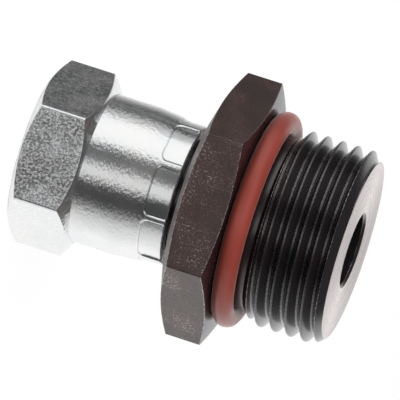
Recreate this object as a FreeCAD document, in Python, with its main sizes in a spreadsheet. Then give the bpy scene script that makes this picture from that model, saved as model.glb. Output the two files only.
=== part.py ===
"""A straight hydraulic adapter: a crimped-on flare swivel nut at one end, an O-ring boss stud at the other.

The axis is Z. The nut's mouth is at Z = 0 and the stud's end face is the highest point, so the fitting stands
on its nut. Three real pieces: the swivel nut, the turned adapter body with its hexagon, and the O-ring.
"""
import math
import os

import FreeCAD, Part
import Sketcher

# Driving sizes, in millimetres, degrees or counts
SIZES = [
    ("nut_across_flats", 22.225, "swivel nut, 7/8 inch wrench size"),
    ("nut_hex_length", 8.63, "length of the nut's hexagon"),
    ("nut_turn", 2.5, "turn of the nut as it stands, from the body's hexagon corner"),
    ("nut_face_circle", 21.2, "circle where the nut's end faces meet their chamfers"),
    ("nut_chamfer_angle", 30.0, "chamfer of the nut's hexagon, from its end faces"),
    ("collar_wall", 0.72, "wall of the round collar, over the bead's pocket"),
    ("collar_length", 6.2, "straight part of the collar"),
    ("shoulder_length", 3.35, "part of the collar that the crimp draws in"),
    ("skirt_draw", 0.35, "step in from the collar to the ridges that the crimping jaws leave"),
    ("print_depth", 0.25, "depth of the jaws' prints below those ridges"),
    ("crimp_length", 3.35, "length of the crimped skirt"),
    ("crimp_jaws", 8, "number of crimping jaws"),
    ("ridge_angle", 4.4, "width of a ridge between two jaws"),
    ("crimp_turn", -0.8, "turn of the first jaw from the nut's hexagon corner"),
    ("jaw_corner", 0.9, "corner radius of a jaw's print"),
    ("skirt_edge", 0.3, "rounded edge at the end of the skirt"),
    ("nut_thread_bore", 17.48, "bore of the nut's 3/4-16 thread, its minor diameter"),
    ("nut_thread_length", 9.4, "depth of the nut's thread from its mouth"),
    ("nut_mouth_diameter", 19.7, "countersink at the nut's mouth"),
    ("bead_clearance", 0.28, "between the bead and its pocket, all round and behind"),
    ("lip_clearance", 0.3, "between the neck and the crimped lip"),
    ("bead_diameter", 18.7, "bead that holds the nut on the body"),
    ("bead_length", 3.0, "straight part of the bead"),
    ("bead_set_back", 2.9, "from the nose's tip to the bead"),
    ("nose_depth", 9.5, "from the nut's mouth to the nose's tip"),
    ("nose_diameter", 16.6, "nose inside the nut"),
    ("seat_diameter", 14.4, "wide end of the concave flare seat"),
    ("seat_angle", 37.0, "flare seat, from the axis"),
    ("neck_diameter", 15.8, "neck that the crimped lip turns round"),
    ("swivel_gap", 1.2, "from the skirt's end to the body's hexagon"),
    ("body_across_flats", 31.75, "body, 1-1/4 inch wrench size"),
    ("body_hex_length", 7.35, "length of the body's hexagon"),
    ("back_face_circle", 25.2, "circle where the hexagon's back face meets its chamfer"),
    ("back_chamfer_angle", 17.0, "chamfer behind the hexagon, from the face"),
    ("port_face_circle", 30.8, "circle where the port face meets its chamfer"),
    ("port_chamfer_angle", 15.0, "chamfer in front of the hexagon, from the face"),
    ("relief_diameter", 24.0, "thread relief that the O-ring sits on"),
    ("relief_length", 3.8, "length of the thread relief"),
    ("stud_thread_major", 26.99, "1-1/16-12 thread, major diameter"),
    ("stud_thread_pitch", 2.1167, "1-1/16-12 thread, pitch"),
    ("stud_thread_depth", 1.3, "1-1/16-12 thread, depth"),
    ("stud_thread_turn", 151.0, "turn of the thread's start, seen from the stud's end"),
    ("stud_length", 15.1, "stud, from the port face"),
    ("stud_end_diameter", 24.54, "end face of the stud"),
    ("bore_diameter", 9.92, "flow bore through the body"),
    ("bore_edge", 0.35, "chamfer of the bore at the stud's end"),
    ("ring_section", 2.95, "O-ring cord diameter"),
    ("ring_sides", 12, "sides that stand for the cord's round section"),
    ("ring_clearance", 0.06, "between the O-ring and what it sits on"),
]

# Heights up the axis, as expressions of the driving sizes
COLLAR_TOP = "(sizes.nut_hex_length + sizes.collar_length)"
CRIMP_START = f"({COLLAR_TOP} + sizes.shoulder_length)"
SKIRT_END = f"({CRIMP_START} + sizes.crimp_length)"
BEAD_FRONT = "(sizes.nose_depth + sizes.bead_set_back)"
BEAD_BACK = f"({BEAD_FRONT} + sizes.bead_length)"
BEAD_STEP = "(sizes.bead_diameter - sizes.neck_diameter) / 2"
HEX_BACK = f"({SKIRT_END} + sizes.swivel_gap)"
PORT_FACE = f"({HEX_BACK} + sizes.body_hex_length)"
RELIEF_END = f"({PORT_FACE} + sizes.relief_length)"
STUD_END = f"({PORT_FACE} + sizes.stud_length)"

# Radii of the nut's outside, which follow the bead that it goes round
POCKET_RADIUS = "(sizes.bead_diameter / 2 + sizes.bead_clearance)"
COLLAR_RADIUS = f"({POCKET_RADIUS} + sizes.collar_wall)"
RIDGE_RADIUS = f"({COLLAR_RADIUS} - sizes.skirt_draw)"
PRINT_RADIUS = f"({RIDGE_RADIUS} - sizes.print_depth)"

# Thread proportions of the unified form: flat crest of an eighth of the pitch, flanks at 30 degrees
CREST_SHARE = 1 / 8
FLANK_SLOPE = round(math.tan(math.radians(30)), 6)
TOOL_OVERSHOOT = 0.05

doc = FreeCAD.newDocument("swivel_adapter")


def make_sheet():
    sheet = doc.addObject("Spreadsheet::Sheet", "sizes")
    for row, (name, size, meaning) in enumerate(SIZES, start=1):
        sheet.set(f"A{row}", name)
        sheet.set(f"B{row}", str(size))
        sheet.set(f"C{row}", meaning)
        sheet.setAlias(f"B{row}", name)
    doc.recompute()
    return sheet


sheet = make_sheet()


def number(expression):
    """The present value of an expression of the sizes, as a plain number."""
    found = sheet.evalExpression(expression)
    return getattr(found, "Value", found)


def new_body(label):
    body = doc.addObject("PartDesign::Body", label)
    body.Label = label
    return body


def new_sketch(body, name, role, height="0", turn="0"):
    """A sketch on one of the body's own planes, lifted along the axis or turned round it."""
    plane = next(p for p in body.Origin.OriginFeatures if p.Role == role)
    sketch = body.newObject("Sketcher::SketchObject", name)
    sketch.AttachmentSupport = [(plane, "")]
    sketch.MapMode = "FlatFace"
    axis = FreeCAD.Vector(0, 0, 1) if role == "XY_Plane" else FreeCAD.Vector(0, 1, 0)
    if turn != "0":
        sketch.AttachmentOffset = FreeCAD.Placement(FreeCAD.Vector(), FreeCAD.Rotation(axis, number(turn)))
        sketch.setExpression("AttachmentOffset.Rotation.Angle", turn)
    if role == "XY_Plane":
        sketch.setExpression("AttachmentOffset.Base.z", height)
    return sketch


def draw_outline(sketch, corners):
    """A closed outline through corners given as (radius, height) expressions, each tied to the sheet."""
    points = [FreeCAD.Vector(number(r), number(z), 0) for r, z in corners]
    following = points[1:] + points[:1]
    for start, end in zip(points, following):
        sketch.addGeometry(Part.LineSegment(start, end), False)
    for i in range(len(points)):
        sketch.addConstraint(Sketcher.Constraint("Coincident", i, 2, (i + 1) % len(points), 1))
    for i, (r, z) in enumerate(corners):
        for kind, expression in (("DistanceX", r), ("DistanceY", z)):
            index = sketch.addConstraint(Sketcher.Constraint(kind, -1, 1, i, 1, number(expression)))
            sketch.setExpression(f"Constraints[{index}]", expression)


def draw_hexagon(sketch, across_flats):
    """A regular hexagon round a circle of the wrench size, with its first corner on the sketch's X axis."""
    corner = number(across_flats) / math.sqrt(3)
    angles = [math.radians(60 * i) for i in range(6)]
    points = [FreeCAD.Vector(corner * math.cos(a), corner * math.sin(a), 0) for a in angles]
    for i in range(6):
        sketch.addGeometry(Part.LineSegment(points[i], points[(i + 1) % 6]), False)
    round_size = Part.Circle(FreeCAD.Vector(), FreeCAD.Vector(0, 0, 1), number(across_flats) / 2)
    circle = sketch.addGeometry(round_size, True)
    for i in range(6):
        sketch.addConstraint(Sketcher.Constraint("Coincident", i, 2, (i + 1) % 6, 1))
    sketch.addConstraint(Sketcher.Constraint("Coincident", circle, 3, -1, 1))
    for i in range(6):
        sketch.addConstraint(Sketcher.Constraint("Tangent", i, circle))
    for i in range(1, 6):
        sketch.addConstraint(Sketcher.Constraint("Equal", 0, i))
    sketch.addConstraint(Sketcher.Constraint("Horizontal", 1))
    size = sketch.addConstraint(Sketcher.Constraint("Diameter", circle, number(across_flats)))
    sketch.setExpression(f"Constraints[{size}]", across_flats)


def pad_hexagon(body, name, across_flats, height, length, turn="0"):
    sketch = new_sketch(body, f"{name}_outline", "XY_Plane", height, turn)
    draw_hexagon(sketch, across_flats)
    pad = body.newObject("PartDesign::Pad", name)
    pad.Profile = sketch
    pad.setExpression("Length", length)
    doc.recompute()
    return pad


def turn_on_axis(body, kind, name, corners):
    """A revolved feature, either material added or a groove cut, from a half section."""
    sketch = new_sketch(body, f"{name}_section", "XZ_Plane")
    draw_outline(sketch, corners)
    feature = body.newObject(kind, name)
    feature.Profile = sketch
    feature.ReferenceAxis = (sketch, ["V_Axis"])
    feature.Angle = 360
    doc.recompute()
    return feature


def chamfer_corners(body, name, across_flats, face_circle, angle, face, direction):
    """Turns the hexagon's corners down to a cone from the face circle; direction is + or - along Z."""
    inner = f"{face_circle} / 2"
    outer = f"{across_flats} * 0.6"
    rise = f"({outer} - {inner}) * tan({angle} * 1 deg)"
    over = f"{face} - ({direction} 1)"
    turn_on_axis(body, "PartDesign::Groove", name, [
        (inner, face),
        (outer, f"{face} + ({direction} {rise})"),
        (outer, over),
        (inner, over),
    ])


def cut_stud_thread(body):
    """The stud's right-hand thread: a 60 degree groove wound from the relief past the end face."""
    crest = "(sizes.stud_thread_major / 2)"
    root = f"({crest} - sizes.stud_thread_depth)"
    groove_half = f"(sizes.stud_thread_pitch * {(1 - CREST_SHARE) / 2})"
    root_half = f"({groove_half} - sizes.stud_thread_depth * {FLANK_SLOPE})"
    tool_half = f"({groove_half} + {TOOL_OVERSHOOT} * {FLANK_SLOPE})"
    tool_radius = f"({crest} + {TOOL_OVERSHOOT})"
    start = f"({PORT_FACE} + sizes.relief_length / 2)"
    sketch = new_sketch(body, "stud_thread_section", "XZ_Plane", turn="sizes.stud_thread_turn")
    draw_outline(sketch, [
        (root, f"{start} - {root_half}"),
        (root, f"{start} + {root_half}"),
        (tool_radius, f"{start} + {tool_half}"),
        (tool_radius, f"{start} - {tool_half}"),
    ])
    helix = body.newObject("PartDesign::SubtractiveHelix", "stud_thread")
    helix.Profile = sketch
    helix.ReferenceAxis = (sketch, ["V_Axis"])
    helix.Mode = 0
    helix.setExpression("Pitch", "sizes.stud_thread_pitch")
    helix.setExpression("Height", "sizes.stud_length - sizes.relief_length / 2 + sizes.stud_thread_pitch")
    doc.recompute()


def make_swivel_nut():
    body = new_body("swivel_nut")
    pad_hexagon(body, "nut_hexagon", "sizes.nut_across_flats", "0 mm", "sizes.nut_hex_length",
                "sizes.nut_turn")
    chamfer_corners(body, "mouth_chamfer", "sizes.nut_across_flats", "sizes.nut_face_circle",
                    "sizes.nut_chamfer_angle", "0", "1 *")
    chamfer_corners(body, "collar_side_chamfer", "sizes.nut_across_flats", "sizes.nut_face_circle",
                    "sizes.nut_chamfer_angle", "sizes.nut_hex_length", "-1 *")
    turn_on_axis(body, "PartDesign::Revolution", "collar_and_skirt", [
        ("0", "sizes.nut_hex_length / 2"),
        (COLLAR_RADIUS, "sizes.nut_hex_length / 2"),
        (COLLAR_RADIUS, COLLAR_TOP),
        (RIDGE_RADIUS, CRIMP_START),
        (RIDGE_RADIUS, f"{SKIRT_END} - sizes.skirt_edge"),
        (f"{RIDGE_RADIUS} - sizes.skirt_edge", SKIRT_END),
        ("0", SKIRT_END),
    ])
    press_jaw_prints(body)
    bore_nut(body)
    return body


def press_jaw_prints(body):
    """The crimping jaws' prints: eight shallow arcs with rounded inner corners, open at the skirt's end."""
    outside = f"{COLLAR_RADIUS} * 2"
    sketch = new_sketch(body, "jaw_print_section", "XZ_Plane", turn="sizes.nut_turn + sizes.crimp_turn")
    draw_outline(sketch, [
        (PRINT_RADIUS, CRIMP_START),
        (outside, CRIMP_START),
        (outside, f"{SKIRT_END} + 1"),
        (f"{PRINT_RADIUS} - sizes.skirt_edge", f"{SKIRT_END} + 1"),
        (f"{PRINT_RADIUS} - sizes.skirt_edge", SKIRT_END),
        (PRINT_RADIUS, f"{SKIRT_END} - sizes.skirt_edge"),
    ])
    groove = body.newObject("PartDesign::Groove", "jaw_print")
    groove.Profile = sketch
    groove.ReferenceAxis = (sketch, ["V_Axis"])
    groove.Midplane = True
    groove.setExpression("Angle", "360 / sizes.crimp_jaws - sizes.ridge_angle")
    doc.recompute()
    prints = body.newObject("PartDesign::PolarPattern", "jaw_prints")
    prints.Originals = [groove]
    prints.Axis = (sketch, ["V_Axis"])
    prints.Angle = 360
    prints.setExpression("Occurrences", "sizes.crimp_jaws")
    body.Tip = prints
    doc.recompute()
    round_jaw_corners(body, prints)


def round_jaw_corners(body, prints):
    """Rounds the two inner corners of each jaw's print, on the short radial edges where the print starts."""
    names = []
    for i, edge in enumerate(prints.Shape.Edges, start=1):
        at_start = all(abs(v.Z - number(CRIMP_START)) < 1e-4 for v in edge.Vertexes)
        if at_start and len(edge.Vertexes) == 2 and isinstance(edge.Curve, Part.Line):
            names.append(f"Edge{i}")
    corners = body.newObject("PartDesign::Fillet", "jaw_corners")
    corners.Base = (prints, names)
    corners.setExpression("Radius", "sizes.jaw_corner")
    body.Tip = corners
    doc.recompute()


def bore_nut(body):
    """The nut's inside: countersink, thread bore, pocket for the bead and the lip crimped in behind it."""
    lip = "(sizes.neck_diameter / 2 + sizes.lip_clearance)"
    pocket_end = f"({BEAD_BACK} + sizes.bead_clearance)"
    thread = "sizes.nut_thread_bore / 2"
    turn_on_axis(body, "PartDesign::Groove", "nut_bore", [
        ("0", "0"),
        ("sizes.nut_mouth_diameter / 2", "0"),
        (thread, f"sizes.nut_mouth_diameter / 2 - {thread}"),
        (thread, "sizes.nut_thread_length"),
        (POCKET_RADIUS, "sizes.nut_thread_length"),
        (POCKET_RADIUS, pocket_end),
        (lip, f"{pocket_end} + {POCKET_RADIUS} - {lip}"),
        (lip, SKIRT_END),
        ("0", SKIRT_END),
    ])


def make_adapter_body():
    body = new_body("adapter_body")
    pad_hexagon(body, "body_hexagon", "sizes.body_across_flats", HEX_BACK, "sizes.body_hex_length")
    chamfer_corners(body, "back_chamfer", "sizes.body_across_flats", "sizes.back_face_circle",
                    "sizes.back_chamfer_angle", HEX_BACK, "1 *")
    chamfer_corners(body, "port_chamfer", "sizes.body_across_flats", "sizes.port_face_circle",
                    "sizes.port_chamfer_angle", PORT_FACE, "-1 *")
    nose = "sizes.nose_diameter / 2"
    bead = "sizes.bead_diameter / 2"
    neck = "sizes.neck_diameter / 2"
    relief = "sizes.relief_diameter / 2"
    crest = "sizes.stud_thread_major / 2"
    end = "sizes.stud_end_diameter / 2"
    turn_on_axis(body, "PartDesign::Revolution", "turned_form", [
        ("0", "sizes.nose_depth"),
        (nose, "sizes.nose_depth"),
        (nose, BEAD_FRONT),
        (bead, BEAD_FRONT),
        (bead, BEAD_BACK),
        (neck, f"{BEAD_BACK} + {BEAD_STEP}"),
        (neck, f"{HEX_BACK} + 1"),
        (relief, f"{HEX_BACK} + 1"),
        (relief, RELIEF_END),
        (crest, f"{RELIEF_END} + {crest} - {relief}"),
        (crest, f"{STUD_END} - ({crest} - {end})"),
        (end, STUD_END),
        ("0", STUD_END),
    ])
    cut_stud_thread(body)
    bore_body(body)
    return body


def bore_body(body):
    """The concave flare seat in the nose and the flow bore through the body."""
    bore = "sizes.bore_diameter / 2"
    seat = "sizes.seat_diameter / 2"
    turn_on_axis(body, "PartDesign::Groove", "seat_and_bore", [
        ("0", "sizes.nose_depth"),
        (seat, "sizes.nose_depth"),
        (bore, f"sizes.nose_depth + ({seat} - {bore}) / tan(sizes.seat_angle * 1 deg)"),
        (bore, f"{STUD_END} - sizes.bore_edge"),
        (f"{bore} + sizes.bore_edge", STUD_END),
        ("0", STUD_END),
    ])


def make_o_ring():
    """The O-ring, whose round cord is drawn with a few sides to keep the mesh light."""
    body = new_body("stud_o_ring")
    ring_radius = "((sizes.relief_diameter + sizes.ring_section) / 2 + sizes.ring_clearance)"
    ring_height = f"({PORT_FACE} + sizes.ring_section / 2 + sizes.ring_clearance)"
    sides = int(number("sizes.ring_sides"))
    corners = []
    for i in range(sides):
        angle = f"({i + 0.5} * 360 deg / {sides})"
        corners.append((f"{ring_radius} + sizes.ring_section / 2 * cos({angle})",
                        f"{ring_height} + sizes.ring_section / 2 * sin({angle})"))
    turn_on_axis(body, "PartDesign::Revolution", "cord", corners)
    return body


def export(pieces):
    doc.recompute()
    for item in doc.Objects:
        if "Invalid" in item.State or "Error" in item.State:
            raise RuntimeError(f"{item.Name}: {item.State}")
    os.makedirs("parts", exist_ok=True)
    for piece in pieces:
        if piece.Shape.isNull() or not piece.Shape.isValid():
            raise RuntimeError(f"{piece.Label}: the shape is not valid")
        piece.Shape.exportStep(f"parts/{piece.Label}.step")


export([make_swivel_nut(), make_adapter_body(), make_o_ring()])
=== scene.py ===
"""Dresses a straight hydraulic adapter: a blackened body with a threaded stud, a rubber O-ring in front of
its port face, and a zinc-plated swivel nut that is crimped onto it."""
import math

import bmesh
import bpy
from mathutils import Matrix, Vector


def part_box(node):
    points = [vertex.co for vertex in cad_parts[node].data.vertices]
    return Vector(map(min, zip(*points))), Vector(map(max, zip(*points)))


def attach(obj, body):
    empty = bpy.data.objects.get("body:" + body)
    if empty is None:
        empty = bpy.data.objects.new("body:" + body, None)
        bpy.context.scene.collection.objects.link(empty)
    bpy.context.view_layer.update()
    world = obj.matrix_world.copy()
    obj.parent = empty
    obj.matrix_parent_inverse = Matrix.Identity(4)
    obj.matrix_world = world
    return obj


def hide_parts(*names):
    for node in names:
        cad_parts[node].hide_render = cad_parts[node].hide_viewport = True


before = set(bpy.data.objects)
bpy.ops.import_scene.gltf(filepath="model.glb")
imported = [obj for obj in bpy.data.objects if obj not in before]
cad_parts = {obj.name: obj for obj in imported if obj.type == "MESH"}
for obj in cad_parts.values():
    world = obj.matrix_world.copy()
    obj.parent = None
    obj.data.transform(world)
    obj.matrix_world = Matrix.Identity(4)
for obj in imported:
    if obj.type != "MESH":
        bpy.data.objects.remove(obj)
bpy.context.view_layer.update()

# Adapter body: one piece of hexagon steel bar, turned at both ends, threaded and bored through. It is
# blackened in hot oxide and oiled, which leaves a brown-black skin that rubs through to bright steel.
# Its hexagon comes first, with both ends turned back to shallow cones.
mm = 0.001
hair = 0.001 * mm
overrun = 1.0 * mm
nose_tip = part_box("adapter_body")[0].z
stud_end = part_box("adapter_body")[1].z
skirt_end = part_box("swivel_nut")[1].z
body_flats = 31.75 * mm
swivel_gap = 1.2 * mm
hexagon_back = skirt_end + swivel_gap
stud_length = 15.1 * mm
port_face = stud_end - stud_length
body_corner_break = 0.14 * mm
back_face_circle = 25.2 * mm
back_chamfer = math.radians(17)
port_face_circle = 30.8 * mm
port_chamfer = math.radians(15)
steps_round = 288
same_point = 0.0001 * mm


def turned(section, steps=steps_round):
    """A solid turned round Z from a half section of (radius, height) points."""
    bm = bmesh.new()
    points = [bm.verts.new((radius, 0, height)) for radius, height in section]
    edges = [bm.edges.new(pair) for pair in zip(points, points[1:] + points[:1])]
    bmesh.ops.spin(bm, geom=points + edges, axis=(0, 0, 1), cent=(0, 0, 0),
                   angle=2 * math.pi, steps=steps, use_merge=True)
    bmesh.ops.remove_doubles(bm, verts=bm.verts, dist=same_point)
    bmesh.ops.recalc_face_normals(bm, faces=bm.faces)
    return bm


def hexagon_bar(across_flats, bottom, top, corner_break):
    """A length of hexagon bar with a corner on the X axis and its long corners broken."""
    bm = bmesh.new()
    corner = across_flats / math.sqrt(3)
    bmesh.ops.create_cone(bm, cap_ends=True, segments=6, radius1=corner, radius2=corner,
                          depth=top - bottom)
    bmesh.ops.rotate(bm, verts=bm.verts, matrix=Matrix.Rotation(math.radians(30), 3, "Z"))
    bmesh.ops.translate(bm, verts=bm.verts, vec=(0, 0, (top + bottom) / 2))
    long_corners = [e for e in bm.edges if abs(e.verts[0].co.z - e.verts[1].co.z) > mm]
    bmesh.ops.bevel(bm, geom=long_corners, offset=corner_break, offset_type="OFFSET",
                    affect="EDGES", segments=3, profile=0.5, material=-1)
    return bm


def chamfered_ends(across_flats, bottom, top, bottom_circle, top_circle, bottom_angle, top_angle):
    """The turned envelope that cuts a hexagon's ends back to cones. It reaches just past the corners."""
    reach = across_flats * 0.6
    return turned([
        (0, bottom),
        (bottom_circle / 2, bottom),
        (reach, bottom + (reach - bottom_circle / 2) * math.tan(bottom_angle)),
        (reach, top - (reach - top_circle / 2) * math.tan(top_angle)),
        (top_circle / 2, top),
        (0, top),
    ])


def solid(bm, name):
    """Turns a bmesh into an object of the scene."""
    mesh = bpy.data.meshes.new(name)
    bm.to_mesh(mesh)
    bm.free()
    piece = bpy.data.objects.new(name, mesh)
    bpy.context.scene.collection.objects.link(piece)
    return piece


def carve(piece, tool, operation):
    """Joins, cuts or trims a piece with a tool solid, and takes the tool away."""
    change = piece.modifiers.new(operation, "BOOLEAN")
    change.operation = operation
    change.solver = "EXACT"
    change.object = tool
    shaped = piece.evaluated_get(bpy.context.evaluated_depsgraph_get())
    mesh = bpy.data.meshes.new_from_object(shaped)
    piece.modifiers.clear()
    piece.data = mesh
    bpy.data.objects.remove(tool)


body_bar = hexagon_bar(body_flats, hexagon_back - overrun, port_face + overrun, body_corner_break)
adapter_body = solid(body_bar, "blackened_adapter_body")
body_ends = chamfered_ends(body_flats, hexagon_back, port_face, back_face_circle,
                           port_face_circle, back_chamfer, port_chamfer)
carve(adapter_body, solid(body_ends, "end_chamfers"), "INTERSECT")

# The body's turned form, from the nose inside the nut, over the bead that the nut is crimped onto, to the
# relief for the O-ring and the stud's end face.
nose_radius = 8.3 * mm
bead_radius = 9.35 * mm
bead_front = nose_tip + 2.9 * mm
bead_back = bead_front + 3.0 * mm
neck_radius = 7.9 * mm
relief_radius = 12.0 * mm
relief_end = port_face + 3.8 * mm
crest_radius = 13.495 * mm
end_radius = 12.27 * mm
fine_break = 0.08 * mm
turned_form = turned([
    (0, nose_tip),
    (nose_radius - fine_break, nose_tip),
    (nose_radius, nose_tip + fine_break),
    (nose_radius, bead_front),
    (bead_radius - fine_break, bead_front),
    (bead_radius, bead_front + fine_break),
    (bead_radius, bead_back),
    (neck_radius, bead_back + bead_radius - neck_radius),
    (neck_radius, hexagon_back + overrun),
    (relief_radius, hexagon_back + overrun),
    (relief_radius, relief_end),
    (crest_radius, relief_end + crest_radius - relief_radius),
    (crest_radius, stud_end - (crest_radius - end_radius)),
    (end_radius, stud_end),
    (0, stud_end),
])
carve(adapter_body, solid(turned_form, "turned_form"), "UNION")

# The stud's 1-1/16-12 thread: a right-hand 60 degree groove, cut on the lathe with a single point. Its
# crest is flat for an eighth of the pitch, and the tool leaves the crest's edges slightly round.
inch = 25.4 * mm
stud_pitch = inch / 12
stud_depth = 1.3 * mm
stud_edge_break = 0.07 * mm
groove_start = port_face + 1.9 * mm
groove_turn = math.radians(151)
run_out_turns = 1
flank_slope = math.tan(math.radians(30))


def thread_groove(crest, root, pitch, edge_break, outside=1):
    """Half a thread's groove, from its root past its rounded crest, as (radius, half width) points. Outside
    is 1 for a stud and -1 for a nut."""
    half_at_crest = pitch * 7 / 16
    half_at_root = half_at_crest - abs(crest - root) * flank_slope
    rounding_in, rounding_over = 0.3 * edge_break, 0.2 * edge_break
    return [
        (root, half_at_root - edge_break),
        (root + outside * edge_break, half_at_root + edge_break * flank_slope),
        (crest - outside * edge_break, half_at_crest - edge_break * flank_slope),
        (crest - outside * rounding_in, half_at_crest + rounding_over),
        (crest, half_at_crest + edge_break),
        (crest + outside * edge_break, half_at_crest + edge_break * 2),
    ]


def helical_tool(groove, pitch, start, turns, turn=0, steps_per_turn=96):
    """A groove's section wound up the Z axis as a right-hand helix and closed at both ends."""
    bm = bmesh.new()
    section = groove + [(radius, -half) for radius, half in reversed(groove)]
    points = [bm.verts.new((radius, 0, start + offset)) for radius, offset in section]
    edges = [bm.edges.new(pair) for pair in zip(points, points[1:] + points[:1])]
    bmesh.ops.rotate(bm, verts=points, matrix=Matrix.Rotation(turn, 3, "Z"))
    steps = round(turns * steps_per_turn)
    bmesh.ops.spin(bm, geom=points + edges, axis=(0, 0, 1), cent=(0, 0, 0),
                   dvec=(0, 0, pitch / steps_per_turn),
                   angle=2 * math.pi * steps / steps_per_turn, steps=steps)
    bmesh.ops.holes_fill(bm, edges=[e for e in bm.edges if e.is_boundary], sides=0)
    bmesh.ops.recalc_face_normals(bm, faces=bm.faces)
    return bm


stud_groove = thread_groove(crest_radius, crest_radius - stud_depth, stud_pitch, stud_edge_break)
stud_turns = (stud_end - groove_start) / stud_pitch + run_out_turns
stud_tool = helical_tool(stud_groove, stud_pitch, groove_start, stud_turns, groove_turn)
carve(adapter_body, solid(stud_tool, "stud_thread_tool"), "DIFFERENCE")

# The body's flow bore, drilled through, with a concave 37 degree seat in the nose for the flare that the
# nut pulls against it, and a small chamfer at the stud's end.
bore_radius = 4.96 * mm
seat_radius = 7.2 * mm
seat_depth = (seat_radius - bore_radius) / math.tan(math.radians(37))
bore_edge = 0.35 * mm
bore_tool = turned([
    (0, nose_tip - overrun),
    (seat_radius, nose_tip - overrun),
    (seat_radius, nose_tip),
    (bore_radius, nose_tip + seat_depth),
    (bore_radius, stud_end - bore_edge),
    (bore_radius + bore_edge, stud_end),
    (bore_radius + bore_edge, stud_end + overrun),
    (0, stud_end + overrun),
])
carve(adapter_body, solid(bore_tool, "bore_tool"), "DIFFERENCE")

# The body's finishes: the same hot black oxide looks different over drawn bar, over turned steel and on the
# chamfer behind the nut, where no oil has stayed and its pale grey brown is painted light. A pixel of the
# picture covers 0.13 mm, so marks that are finer on the real part are drawn 0.14 to 0.3 mm apart.
feed_on_face = 0.7
edge_samples = 8


def smooth(piece, sharp_over=32):
    """Shades a piece smooth between its edges of more than sharp_over degrees."""
    piece.data.polygons.foreach_set("use_smooth", [True] * len(piece.data.polygons))
    piece.data.set_sharp_from_angle(angle=math.radians(sharp_over))
    even = piece.modifiers.new("even_shading", "WEIGHTED_NORMAL")
    even.keep_sharp = True


def colour_of(code):
    """An sRGB hex colour as linear red, green, blue and alpha."""
    parts = [int(code[i:i + 2], 16) / 255 for i in (1, 3, 5)]
    return [p / 12.92 if p <= 0.04045 else ((p + 0.055) / 1.055) ** 2.4 for p in parts] + [1.0]


def node(tree, kind, inputs=None, **settings):
    """Adds a shader node. An input takes a plain value, another node's output, or another node, which
    stands for the first of its outputs that is in use."""
    made = tree.nodes.new("ShaderNode" + kind)
    for name, value in settings.items():
        setattr(made, name, value)
    for socket, value in (inputs or {}).items():
        if isinstance(value, bpy.types.Node):
            value = next(output for output in value.outputs if output.enabled)
        if isinstance(value, bpy.types.NodeSocket):
            tree.links.new(value, made.inputs[socket])
        else:
            made.inputs[socket].default_value = value
    return made


def new_material(name):
    """An empty material, and its node tree."""
    material = bpy.data.materials.new(name)
    material.use_nodes = True
    material.node_tree.nodes.clear()
    return material, material.node_tree


def lathe_marks(tree, spacing, length):
    """Noise drawn out along the lathe's cut: marks spacing apart on a cylinder and a little further apart on
    a face, and about length long."""
    x, y, height = node(tree, "SeparateXYZ", {
        "Vector": node(tree, "TexCoord").outputs["Object"]}).outputs
    from_axis = node(tree, "CombineXYZ", {"X": x, "Y": y})
    radius = node(tree, "VectorMath", {0: from_axis}, operation="LENGTH")
    feed = node(tree, "Math", {0: radius, 1: feed_on_face, 2: height}, operation="MULTIPLY_ADD")
    cut = node(tree, "CombineXYZ", {"X": x, "Y": y, "Z": feed})
    drawn_out = node(tree, "Mapping", {
        "Vector": cut, "Scale": (1 / length, 1 / length, 1 / spacing)})
    return node(tree, "TexNoise", {"Vector": drawn_out, "Scale": 1.0, "Detail": 3.0})


def rubbed_edges(tree, reach):
    """A normal that is rounded within reach of each edge, and a mask that is 1 on the edge itself."""
    rounded = node(tree, "Bevel", {"Radius": reach}, samples=edge_samples)
    flat = node(tree, "NewGeometry").outputs["Normal"]
    agreement = node(tree, "VectorMath", {0: rounded, 1: flat}, operation="DOT_PRODUCT")
    edge = node(tree, "MapRange", {"Value": agreement, "From Min": 0.999, "From Max": 0.95},
                interpolation_type="SMOOTHSTEP")
    return rounded, edge


def wear_through(tree, skin, steel, bare):
    """Ends a material in its skin, with steel showing where the mask called bare is 1."""
    both = node(tree, "MixShader", {0: bare, 1: skin, 2: steel})
    node(tree, "OutputMaterial", {"Surface": both})


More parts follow.
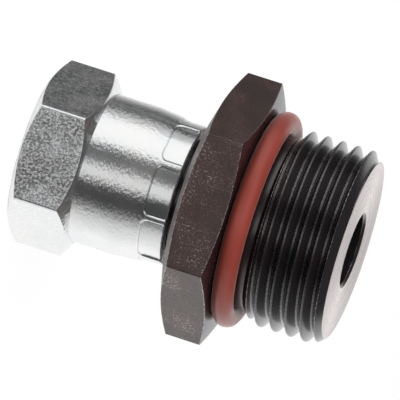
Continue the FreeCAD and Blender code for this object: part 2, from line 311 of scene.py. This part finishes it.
def oxide_on_drawn_bar():
    """Oiled black oxide over drawn hexagon bar. The bar's rough skin shows through the thin oxide, so the
    flats are dull, grainy and brownish, with pale specks and hairline scratches where handling has rubbed
    the high grains bare, and bright corners."""
    material, tree = new_material("oiled_black_oxide_on_drawn_bar")
    place = node(tree, "TexCoord").outputs["Object"]
    rounded, edge = rubbed_edges(tree, 0.15 * mm)

    # Handling leaves patches of some 5 mm. The bar's grain and its rubbed specks are under 0.1 mm.
    cloud = node(tree, "TexNoise", {"Vector": place, "Scale": 1 / (5.0 * mm), "Detail": 6.0})
    grain = node(tree, "TexNoise", {"Vector": place, "Scale": 1 / (0.28 * mm), "Detail": 3.0})
    fleck = node(tree, "TexNoise", {"Vector": place, "Scale": 1 / (0.26 * mm), "Detail": 2.0})
    bump = node(tree, "Bump", {"Height": grain, "Distance": 0.04 * mm, "Normal": rounded})

    # Scratches run 4 mm long on a slant, and are hairlines on the real bar.
    slant = node(tree, "Mapping", {
        "Vector": place, "Rotation": (0.5, 0.6, 0.4),
        "Scale": (1 / (0.14 * mm), 1 / (0.14 * mm), 1 / (4.0 * mm))})
    scratch = node(tree, "TexNoise", {"Vector": slant, "Scale": 1.0, "Detail": 1.0})
    scratches = node(tree, "MapRange", {
        "Value": scratch, "From Min": 0.68, "From Max": 0.78, "To Max": 0.10},
        interpolation_type="SMOOTHSTEP")

    handled = node(tree, "MapRange", {
        "Value": cloud, "From Min": 0.44, "From Max": 0.62, "To Min": 0.05, "To Max": 0.34},
        interpolation_type="SMOOTHSTEP")
    high_grains = node(tree, "MapRange", {"Value": fleck, "From Min": 0.52, "From Max": 0.70},
                       interpolation_type="SMOOTHSTEP")
    specks = node(tree, "Math", {0: high_grains, 1: handled}, operation="MULTIPLY")
    rubbed = node(tree, "Math", {0: specks, 1: scratches}, operation="ADD")
    through = node(tree, "MapRange", {
        "Value": fleck, "From Min": 0.40, "From Max": 0.60, "To Min": 0.15, "To Max": 1.0},
        interpolation_type="SMOOTHSTEP")
    worn = node(tree, "Math", {0: edge, 1: through}, operation="MULTIPLY")
    bare = node(tree, "Math", {0: worn, 1: rubbed}, operation="MAXIMUM")

    patches = node(tree, "MapRange", {"Value": cloud, "From Min": 0.35, "From Max": 0.65},
                   interpolation_type="SMOOTHSTEP")
    colour = node(tree, "Mix", {
        "Factor": patches, "A": colour_of("#231310"), "B": colour_of("#351e1a")},
        data_type="RGBA")
    rough = node(tree, "MapRange", {
        "Value": grain, "From Min": 0.3, "From Max": 0.7, "To Min": 0.34, "To Max": 0.46},
        interpolation_type="SMOOTHSTEP")
    skin = node(tree, "BsdfPrincipled", {
        "Base Color": colour, "Roughness": rough, "IOR": 1.66,
        "Specular Tint": colour_of("#ffeae6"), "Coat Weight": 0.35, "Coat Roughness": 0.3,
        "Coat IOR": 1.45, "Normal": bump, "Coat Normal": bump})
    steel = node(tree, "BsdfPrincipled", {
        "Base Color": colour_of("#e4e4e4"), "Metallic": 1.0, "Roughness": 0.22, "Normal": bump})
    wear_through(tree, skin, steel, bare)
    return material


def oxide_on_turned_steel():
    """Oiled black oxide over turned steel. The cut surface is smooth, so it is blacker and shinier than the
    flats. The thread's crests are rubbed to steel, and the end face is rubbed bare in the lathe's rings,
    which stretch each highlight across them."""
    material, tree = new_material("oiled_black_oxide_on_turned_steel")
    place = node(tree, "TexCoord").outputs["Object"]
    height = node(tree, "SeparateXYZ", {"Vector": place}).outputs["Z"]
    rounded, edge = rubbed_edges(tree, 0.11 * mm)

    # Handling leaves patches of some 5 mm, and the worn specks on the crests are under 0.1 mm.
    cloud = node(tree, "TexNoise", {"Vector": place, "Scale": 1 / (5.0 * mm), "Detail": 6.0})
    grain = node(tree, "TexNoise", {"Vector": place, "Scale": 1 / (0.28 * mm), "Detail": 3.0})
    fleck = node(tree, "TexNoise", {"Vector": place, "Scale": 1 / (0.26 * mm), "Detail": 2.0})
    through = node(tree, "MapRange", {
        "Value": fleck, "From Min": 0.44, "From Max": 0.66, "To Min": 0.12, "To Max": 0.9},
        interpolation_type="SMOOTHSTEP")
    worn = node(tree, "Math", {0: edge, 1: through}, operation="MULTIPLY")

    # The end face is told from the rest by its height. The finishing cut's marks are about 0.1 mm apart on
    # the real part, and run most of the way round.
    end_starts, end_ends = stud_end - 0.05 * mm, stud_end - 0.01 * mm
    at_end = node(tree, "MapRange", {
        "Value": height, "From Min": end_starts, "From Max": end_ends},
        interpolation_type="SMOOTHSTEP")
    rings = node(tree, "MapRange", {
        "Value": lathe_marks(tree, 0.3 * mm, 40.0 * mm), "From Min": 0.35, "From Max": 0.65,
        "To Min": 0.58, "To Max": 0.82}, interpolation_type="SMOOTHSTEP")
    rubbed = node(tree, "Math", {0: at_end, 1: rings}, operation="MULTIPLY")
    bare = node(tree, "Math", {0: worn, 1: rubbed}, operation="MAXIMUM")
    depth = node(tree, "MapRange", {
        "Value": height, "From Min": end_starts, "From Max": end_ends,
        "To Min": 0.006 * mm, "To Max": 0.15 * mm}, interpolation_type="SMOOTHSTEP")
    marks = lathe_marks(tree, 0.2 * mm, 25.0 * mm)
    bump = node(tree, "Bump", {"Height": marks, "Distance": depth, "Normal": rounded})

    # Oil stays in the thread, and is wiped off the port face and the relief.
    oil = node(tree, "MapRange", {
        "Value": height, "From Min": port_face + 2.0 * mm, "From Max": port_face + 3.5 * mm,
        "To Max": 0.5}, interpolation_type="SMOOTHSTEP")
    patches = node(tree, "MapRange", {"Value": cloud, "From Min": 0.35, "From Max": 0.65},
                   interpolation_type="SMOOTHSTEP")
    colour = node(tree, "Mix", {
        "Factor": patches, "A": colour_of("#131012"), "B": colour_of("#1b1517")},
        data_type="RGBA")
    rough = node(tree, "MapRange", {
        "Value": grain, "From Min": 0.3, "From Max": 0.7, "To Min": 0.20, "To Max": 0.28},
        interpolation_type="SMOOTHSTEP")
    skin = node(tree, "BsdfPrincipled", {
        "Base Color": colour, "Roughness": rough, "IOR": 1.66, "Coat Weight": oil,
        "Coat Roughness": 0.16, "Coat IOR": 1.45, "Normal": bump, "Coat Normal": bump})
    steel = node(tree, "BsdfPrincipled", {
        "Base Color": colour_of("#dfd3d0"), "Metallic": 1.0, "Roughness": 0.28,
        "Anisotropic": 0.7, "Anisotropic Rotation": 0.25, "Normal": bump,
        "Tangent": node(tree, "Tangent", direction_type="RADIAL", axis="Z")})
    wear_through(tree, skin, steel, bare)
    return material


def dry_oxide_painted_pale():
    """Black oxide on the chamfer behind the nut, which keeps no oil: dull, with dust in patches of a few
    tenths of a millimetre. Its pale grey brown is painted light, standing in for the bright reflection that
    this chamfer shows."""
    material, tree = new_material("dry_black_oxide_painted_pale_on_back_chamfer")
    place = node(tree, "TexCoord").outputs["Object"]
    rounded, edge = rubbed_edges(tree, 0.15 * mm)
    dust = node(tree, "TexNoise", {"Vector": place, "Scale": 1 / (0.4 * mm), "Detail": 4.0})
    bump = node(tree, "Bump", {"Height": dust, "Distance": 0.02 * mm, "Normal": rounded})
    through = node(tree, "MapRange", {
        "Value": dust, "From Min": 0.40, "From Max": 0.60, "To Min": 0.1, "To Max": 0.9},
        interpolation_type="SMOOTHSTEP")
    worn = node(tree, "Math", {0: edge, 1: through}, operation="MULTIPLY")
    dusty = node(tree, "MapRange", {"Value": dust, "From Min": 0.35, "From Max": 0.65},
                 interpolation_type="SMOOTHSTEP")
    # Painted light: both tones are pale for black oxide, to stand in for the light this chamfer reflects,
    # and the dust only mottles them.
    colour = node(tree, "Mix", {
        "Factor": dusty, "A": colour_of("#6b6361"), "B": colour_of("#857d7a")},
        data_type="RGBA")
    skin = node(tree, "BsdfPrincipled", {
        "Base Color": colour, "Roughness": 0.5, "IOR": 1.5, "Normal": bump})
    steel = node(tree, "BsdfPrincipled", {
        "Base Color": colour_of("#e4e4e4"), "Metallic": 1.0, "Roughness": 0.22, "Normal": bump})
    wear_through(tree, skin, steel, worn)
    return material


smooth(adapter_body)
adapter_body.data.materials.clear()
for finish in (oxide_on_drawn_bar(), oxide_on_turned_steel(), dry_oxide_painted_pale()):
    adapter_body.data.materials.append(finish)
drawn_bar, turned_steel, pale_painted_chamfer = range(3)
least_slope = 0.2
chamfer_room = 2.0 * mm
for face in adapter_body.data.polygons:
    outside = face.center.xy.length > bead_radius
    on_hexagon = hexagon_back + hair <= face.center.z <= port_face - hair
    if outside and face.normal.z < -least_slope and face.center.z < port_face - chamfer_room:
        face.material_index = pale_painted_chamfer
    elif outside and on_hexagon and abs(face.normal.z) <= least_slope:
        face.material_index = drawn_bar
    else:
        face.material_index = turned_steel
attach(adapter_body, "body")
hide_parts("adapter_body")

# O-ring: a moulded ring of brown fluorocarbon rubber, round in section, smooth and semi-matt. It is rolled
# over the thread into the stud's relief, and lies against the port face.
ring_low, ring_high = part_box("stud_o_ring")
ring_height = (ring_low.z + ring_high.z) / 2
cord_radius = 2.95 * mm / 2
ring_clearance = 0.06 * mm
ring_radius = relief_radius + ring_clearance + cord_radius
cord_sides = 32
cord_angles = [2 * math.pi * side / cord_sides for side in range(cord_sides)]
cord_section = [(ring_radius + cord_radius * math.cos(angle),
                 ring_height + cord_radius * math.sin(angle)) for angle in cord_angles]
o_ring = solid(turned(cord_section), "brown_o_ring")


def moulded_rubber():
    """Fluorocarbon rubber from a polished mould: even brown with a soft sheen, and flow marks that shift
    its colour and gloss a little every 3 mm or so. The mould's own grain, far under 0.1 mm, is drawn
    0.3 mm wide and very shallow."""
    material, tree = new_material("brown_fluorocarbon_rubber")
    place = node(tree, "TexCoord").outputs["Object"]
    flow = node(tree, "TexNoise", {"Vector": place, "Scale": 1 / (3.0 * mm), "Detail": 4.0})
    grain = node(tree, "TexNoise", {"Vector": place, "Scale": 1 / (0.3 * mm), "Detail": 2.0})
    bump = node(tree, "Bump", {"Height": grain, "Distance": 0.006 * mm})
    colour = node(tree, "Mix", {
        "Factor": flow, "A": colour_of("#80342a"), "B": colour_of("#923f34")},
        data_type="RGBA")
    rough = node(tree, "MapRange", {
        "Value": flow, "From Min": 0.3, "From Max": 0.7, "To Min": 0.30, "To Max": 0.42},
        interpolation_type="SMOOTHSTEP")
    rubber = node(tree, "BsdfPrincipled", {
        "Base Color": colour, "Roughness": rough, "IOR": 1.48, "Sheen Weight": 0.7,
        "Sheen Roughness": 0.3, "Sheen Tint": colour_of("#ffdcd4"), "Normal": bump})
    node(tree, "OutputMaterial", {"Surface": rubber})
    return material


smooth(o_ring, sharp_over=60)
o_ring.data.materials.append(moulded_rubber())
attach(o_ring, "body")
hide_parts("stud_o_ring")

# Swivel nut: turned from 7/8 inch hexagon steel bar, with a round collar whose thin skirt is crimped over
# the body's bead by eight jaws, and bright zinc plated. Its hexagon comes first.
nut_flats = 22.225 * mm
nut_hexagon_length = 8.63 * mm
nut_face_circle = 21.2 * mm
nut_chamfer = math.radians(30)
nut_turn = math.radians(2.5)
nut_corner_break = 0.26 * mm
nut_bar = hexagon_bar(nut_flats, -overrun, nut_hexagon_length + overrun, nut_corner_break)
bmesh.ops.rotate(nut_bar, verts=nut_bar.verts, matrix=Matrix.Rotation(nut_turn, 3, "Z"))
swivel_nut = solid(nut_bar, "zinc_plated_swivel_nut")
nut_ends = chamfered_ends(nut_flats, 0, nut_hexagon_length, nut_face_circle, nut_face_circle,
                          nut_chamfer, nut_chamfer)
carve(swivel_nut, solid(nut_ends, "nut_chamfers"), "INTERSECT")

# The nut's collar and skirt, turned in one with it. The skirt has rows close enough to take the prints of
# the jaws, which press it in by a quarter of a millimetre between eight narrow ridges.
collar_radius = 10.35 * mm
collar_top = nut_hexagon_length + 6.2 * mm
shoulder_length = 0.4 * mm
shoulder_drop = 0.06 * mm
foot_length = 0.5 * mm
crimp_start = collar_top + 3.35 * mm
ridge_radius = 10.0 * mm
skirt_edge = 0.3 * mm
skirt_edge_angles = [math.radians(a) for a in (0, 22.5, 45, 67.5, 90)]
skirt_face_radius = 8.4 * mm
collar_steps = 576
row = 0.11 * mm
crimp_rows = round((skirt_end - skirt_edge - crimp_start) / row)
skirt = [(ridge_radius, crimp_start + row * i) for i in range(1, crimp_rows)]
skirt += [(ridge_radius - skirt_edge * (1 - math.cos(angle)),
           skirt_end - skirt_edge * (1 - math.sin(angle))) for angle in skirt_edge_angles]
collar = turned([
    (0, nut_hexagon_length / 2),
    (collar_radius, nut_hexagon_length / 2),
    (collar_radius, collar_top - shoulder_length),
    (collar_radius - shoulder_drop / 6, collar_top),
    (collar_radius - shoulder_drop, collar_top + shoulder_length),
    (ridge_radius + shoulder_drop, crimp_start - foot_length),
    (ridge_radius + shoulder_drop / 3, crimp_start - 2 * row),
    (ridge_radius, crimp_start - row),
    (ridge_radius, crimp_start),
    *skirt,
    (skirt_face_radius, skirt_end),
    (0, skirt_end),
], steps=collar_steps)

# The jaws' prints in the skirt: each has rounded corners and a steep edge. A jaw bites at once, and then
# presses deeper over its first millimetre or so.
jaws = 8
ridge_width = math.radians(4.4)
first_ridge = math.radians(24.2)
jaw_corner = 0.9 * mm
print_edge = 0.12 * mm
first_bite = 0.12 * mm
print_depth = 0.25 * mm
bite_length = 1.2 * mm
skirt_inside = 9.0 * mm


def step_in(distance, width):
    """From 0 outside to 1 inside an edge, where distance is negative inside."""
    t = min(max((width - distance) / (2 * width), 0), 1)
    return t * t * (3 - 2 * t)


jaw_pitch = 2 * math.pi / jaws
for v in collar.verts:
    radius = math.hypot(v.co.x, v.co.y)
    if v.co.z < crimp_start - 2 * row or radius < skirt_inside:
        continue
    from_ridge = (math.atan2(v.co.y, v.co.x) - first_ridge) % jaw_pitch
    from_ridge = min(from_ridge, jaw_pitch - from_ridge)
    past_side = (ridge_width / 2 - from_ridge) * ridge_radius + jaw_corner
    past_start = crimp_start - v.co.z + jaw_corner
    outside_corner = math.hypot(max(past_side, 0), max(past_start, 0))
    distance = outside_corner + min(max(past_side, past_start), 0) - jaw_corner
    pressed_in = min(max((v.co.z - crimp_start) / bite_length, 0), 1)
    bite = first_bite + (print_depth - first_bite) * pressed_in
    v.co.xy *= (radius - bite * step_in(distance, print_edge)) / radius
carve(swivel_nut, solid(collar, "collar_and_skirt"), "UNION")

# The nut's inside, bored and threaded before the crimping: a countersunk mouth, the 3/4-16 thread, a pocket
# for the body's bead, and the crimped lip that holds it.
nut_minor = 8.74 * mm
nut_major = 9.525 * mm
nut_pitch = inch / 16
nut_edge_break = 0.04 * mm
mouth_radius = 9.85 * mm
thread_end = 9.4 * mm
pocket_radius = 9.63 * mm
pocket_end = bead_back + 0.28 * mm
lip_radius = 8.2 * mm
nut_bore = turned([
    (0, -overrun),
    (mouth_radius + overrun, -overrun),
    (nut_minor, mouth_radius - nut_minor),
    (nut_minor, thread_end),
    (pocket_radius, thread_end),
    (pocket_radius, pocket_end),
    (lip_radius, pocket_end + pocket_radius - lip_radius),
    (lip_radius, skirt_end + overrun),
    (0, skirt_end + overrun),
])
carve(swivel_nut, solid(nut_bore, "nut_bore"), "DIFFERENCE")
nut_groove = thread_groove(nut_minor, nut_major, nut_pitch, nut_edge_break, outside=-1)
nut_turns = thread_end / nut_pitch + run_out_turns
nut_tool = helical_tool(nut_groove, nut_pitch, -nut_pitch, nut_turns, steps_per_turn=72)
carve(swivel_nut, solid(nut_tool, "nut_thread_tool"), "DIFFERENCE")

# The nut's finishes: bright zinc plate, a pale bluish metal, over the drawn flats and over everything that
# is turned. Its marks too are drawn 0.2 to 0.3 mm wide, where the real ones are finer than a pixel.
zinc_edge_reach = 0.18 * mm


def zinc_colour(tree, cloud):
    """The plate's pale grey, which shifts a little from patch to patch."""
    patches = node(tree, "MapRange", {"Value": cloud, "From Min": 0.35, "From Max": 0.65},
                   interpolation_type="SMOOTHSTEP")
    return node(tree, "Mix", {
        "Factor": patches, "A": colour_of("#e4e6e7"), "B": colour_of("#ebebea")},
        data_type="RGBA")


def zinc_on_drawn_bar():
    """Bright zinc over drawn hexagon bar: a mirror broken by the bar's drawing lines, and speckled dark and
    light by the dings that the nuts give each other in the plating barrel. The pair of flats that faces the
    front and the back has far more of them than the other four, and painted shade darkens the deepest of
    them."""
    material, tree = new_material("bright_zinc_on_drawn_bar")
    place = node(tree, "TexCoord").outputs["Object"]
    rounded, edge = rubbed_edges(tree, zinc_edge_reach)

    # Plating patches are some 4 mm wide, dings 0.3 mm, and drawing lines 0.22 mm wide and 1.5 mm long.
    cloud = node(tree, "TexNoise", {"Vector": place, "Scale": 1 / (4.0 * mm), "Detail": 4.0})
    dings = node(tree, "TexNoise", {"Vector": place, "Scale": 1 / (0.30 * mm), "Detail": 2.0})
    along = node(tree, "Mapping", {
        "Vector": place, "Scale": (1 / (0.22 * mm), 1 / (0.22 * mm), 1 / (1.467 * mm))})
    lines = node(tree, "TexNoise", {"Vector": along, "Scale": 1.0, "Detail": 2.0})

    # How hard a flat is dinged goes by how far it stands from the axis towards the front or the back.
    front = Vector((math.sin(nut_turn), -math.cos(nut_turn), 0))
    ahead = node(tree, "VectorMath", {0: place, 1: front}, operation="DOT_PRODUCT")
    either_way = node(tree, "Math", {0: ahead}, operation="ABSOLUTE")
    hard = node(tree, "MapRange", {
        "Value": cloud, "From Min": 0.40, "From Max": 0.62, "To Min": 7.0, "To Max": 13.0},
        interpolation_type="SMOOTHSTEP")
    dinged = node(tree, "MapRange", {
        "Value": either_way, "From Min": 10.7 * mm, "From Max": 11.0 * mm,
        "To Min": 1.2, "To Max": hard}, interpolation_type="SMOOTHSTEP")
    relief = node(tree, "Math", {0: dings, 1: dinged, 2: lines}, operation="MULTIPLY_ADD")
    strength = node(tree, "MapRange", {
        "Value": edge, "From Max": 0.6, "To Min": 1.0, "To Max": 0.1},
        interpolation_type="SMOOTHSTEP")
    bump = node(tree, "Bump", {
        "Height": relief, "Distance": 0.018 * mm, "Strength": strength, "Normal": rounded})

    # Painted shade: the deepest dings on the front and back flats are darkened towards a dark grey, as shade
    # in their pits.
    deepest = node(tree, "MapRange", {
        "Value": dings, "From Min": 0.58, "From Max": 0.40, "To Max": 0.06},
        interpolation_type="SMOOTHSTEP")
    painted_pit_shade = node(tree, "Math", {0: dinged, 1: deepest}, operation="MULTIPLY")
    colour = node(tree, "Mix", {
        "Factor": painted_pit_shade, "A": zinc_colour(tree, cloud), "B": colour_of("#666a6b")},
        data_type="RGBA")
    rough = node(tree, "MapRange", {
        "Value": cloud, "From Min": 0.35, "From Max": 0.65, "To Min": 0.09, "To Max": 0.2},
        interpolation_type="SMOOTHSTEP")
    plate = node(tree, "BsdfPrincipled", {
        "Base Color": colour, "Metallic": 1.0, "Roughness": rough, "Normal": bump})
    node(tree, "OutputMaterial", {"Surface": plate})
    return material


def zinc_on_turned_steel():
    """Bright zinc over turned steel. The lathe's marks fray each reflection into short strokes round the
    collar, and the jaws have pressed them flatter on the skirt. The creases of their prints are painted
    darker, as painted shade. The real marks are 0.1 mm apart, and would blur away at that."""
    material, tree = new_material("bright_zinc_on_turned_steel")
    place = node(tree, "TexCoord").outputs["Object"]
    height = node(tree, "SeparateXYZ", {"Vector": place}).outputs["Z"]
    rounded = node(tree, "Bevel", {"Radius": zinc_edge_reach}, samples=edge_samples)
    cloud = node(tree, "TexNoise", {"Vector": place, "Scale": 1 / (4.0 * mm), "Detail": 4.0})
    marks = lathe_marks(tree, 0.26 * mm, 0.55 * mm)
    strength = node(tree, "MapRange", {
        "Value": height, "From Min": crimp_start - 0.3 * mm, "From Max": crimp_start,
        "To Min": 1.0, "To Max": 0.55}, interpolation_type="SMOOTHSTEP")
    bump = node(tree, "Bump", {
        "Height": marks, "Distance": 0.058 * mm, "Strength": strength, "Normal": rounded})
    # Painted shade: the creases of the jaws' prints, found by the mesh's pointiness, are darkened towards a
    # dark grey.
    pointed = node(tree, "NewGeometry").outputs["Pointiness"]
    painted_crease_shade = node(tree, "MapRange", {
        "Value": pointed, "From Min": 0.494, "From Max": 0.470, "To Max": 0.88},
        interpolation_type="SMOOTHSTEP")
    colour = node(tree, "Mix", {
        "Factor": painted_crease_shade, "A": zinc_colour(tree, cloud), "B": colour_of("#4a4d50")},
        data_type="RGBA")
    rough = node(tree, "MapRange", {
        "Value": cloud, "From Min": 0.3, "From Max": 0.7, "To Min": 0.13, "To Max": 0.19},
        interpolation_type="SMOOTHSTEP")
    plate = node(tree, "BsdfPrincipled", {
        "Base Color": colour, "Metallic": 1.0, "Roughness": rough, "Normal": bump})
    node(tree, "OutputMaterial", {"Surface": plate})
    return material


swivel_nut.data.materials.clear()
for finish in (zinc_on_drawn_bar(), zinc_on_turned_steel()):
    swivel_nut.data.materials.append(finish)
sixth, twelfth = math.radians(60), math.radians(30)
most_off_flat = math.radians(5)
for face in swivel_nut.data.polygons:
    outward = math.atan2(face.normal.y, face.normal.x) - nut_turn
    upright = abs(face.normal.z) < least_slope
    flat = upright and abs(outward % sixth - twelfth) < most_off_flat
    past_collar = face.center.xy.length > collar_radius + 10 * hair
    on_hexagon = past_collar and face.center.z < nut_hexagon_length
    face.material_index = drawn_bar if flat and on_hexagon else turned_steel
smooth(swivel_nut)
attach(swivel_nut, "nut")
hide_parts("swivel_nut")

# Floor: a pale sheet that the fitting stands on. The camera sees it nearly white, with the soft shadow, and
# the metal doesn't show it.
floor_size = 3.0
floor_glow = 1.06
glow_share = 0.9
white = colour_of("#ffffff")
floor_mesh = bmesh.new()
bmesh.ops.create_grid(floor_mesh, x_segments=1, y_segments=1, size=floor_size)
floor = solid(floor_mesh, "floor")
floor.visible_glossy = False
material, tree = new_material("pale_floor")
lit = node(tree, "BsdfDiffuse", {"Color": colour_of("#e8e8e8")})
glow = node(tree, "Emission", {"Color": white, "Strength": floor_glow})
seen = node(tree, "LightPath").outputs["Is Camera Ray"]
share = node(tree, "Math", {0: seen, 1: glow_share}, operation="MULTIPLY")
surface = node(tree, "MixShader", {0: share, 1: lit, 2: glow})
node(tree, "OutputMaterial", {"Surface": surface})
floor.data.materials.append(material)

# Tent: white paper round the fitting, with grey and black cards that give the metal its bands, and a dark
# top. The camera sees it as plain white. Each card's edge has its direction, in degrees round Z from the
# camera's side (-Y) towards +X, and its brightness.
card_shades = [
    (-168, 1.0), (-150, 0.5), (-140, 0.3), (-130, 0.1), (-124, 0.08), (-122, 0.5),
    (-120, 0.5), (-118, 0.07), (-110, 0.07), (-106, 0.5), (-94, 0.6), (-86, 1.15),
    (-43, 1.15), (-34, 0.15), (-12, 0.2), (-3, 0.85), (13, 0.85), (20, 0.07),
    (50, 0.07), (62, 0.35), (74, 0.7), (90, 0.88), (118, 1.12),
]
top_shade = 0.12
top_starts, top_ends = 0.5, 0.7
camera_side = 0.25
world = bpy.data.worlds.new("white_tent")
bpy.context.scene.world = world
world.use_nodes = True
tree = world.node_tree
tree.nodes.clear()
direction = node(tree, "TexCoord").outputs["Generated"]
around = node(tree, "TexGradient", {"Vector": direction}, gradient_type="RADIAL").outputs["Fac"]
cards = node(tree, "ValToRGB", {"Fac": around})
stops = cards.color_ramp.elements
while len(stops) < len(card_shades):
    stops.new(1.0)
by_place = sorted(((angle / 360 + camera_side) % 1, shade) for angle, shade in card_shades)
for stop, (place, shade) in zip(stops, by_place):
    stop.position = place
    stop.color = (shade, shade, shade, 1)
above = node(tree, "MapRange", {
    "Value": node(tree, "SeparateXYZ", {"Vector": direction}).outputs["Z"],
    "From Min": top_starts, "From Max": top_ends}, interpolation_type="SMOOTHSTEP")
tent = node(tree, "Mix", {
    "Factor": above, "A": cards, "B": (top_shade, top_shade, top_shade, 1)}, data_type="RGBA")
seen = node(tree, "Mix", {
    "Factor": node(tree, "LightPath").outputs["Is Camera Ray"], "A": tent, "B": white},
    data_type="RGBA")
background = node(tree, "Background", {"Color": seen, "Strength": 1.0})
node(tree, "OutputWorld", {"Surface": background})

# Lamp: one soft box above and to the left of the camera. It lights the rubber and the oxide, and the metal
# doesn't show it.
lamp = bpy.data.lights.new("soft_lamp", "AREA")
lamp.size = 0.5
lamp.energy = 4.0
lamp_stand = bpy.data.objects.new("soft_lamp", lamp)
lamp_stand.visible_glossy = False
bpy.context.scene.collection.objects.link(lamp_stand)
lamp_place = Vector((-0.15, -0.45, 0.5))
lamp_aim = lamp_place.to_track_quat("Z", "Y").to_matrix().to_4x4()
lamp_stand.matrix_world = Matrix.Translation(lamp_place) @ lamp_aim

# Camera: a long lens a metre away, a little above the fitting and rolled so that its axis runs to the right
# and slightly down in the picture.
camera_place = Vector((-21.91, -981.90, 189.55)) * mm
picture_right = Vector((-0.30293, 0.16549, 0.93853)).normalized()
picture_up = Vector((-0.95275, -0.03002, -0.30223))
picture_back = picture_right.cross(picture_up).normalized()
picture_up = picture_back.cross(picture_right)
camera = bpy.data.cameras.new("camera")
camera.lens = 671.76
camera.sensor_width = 36
camera.clip_end = 20
camera_stand = bpy.data.objects.new("camera", camera)
bpy.context.scene.collection.objects.link(camera_stand)
turn = Matrix((picture_right, picture_up, picture_back)).transposed().to_4x4()
camera_stand.matrix_world = Matrix.Translation(camera_place) @ turn
bpy.context.scene.camera = camera_stand
bpy.context.scene.view_settings.view_transform = "Standard"
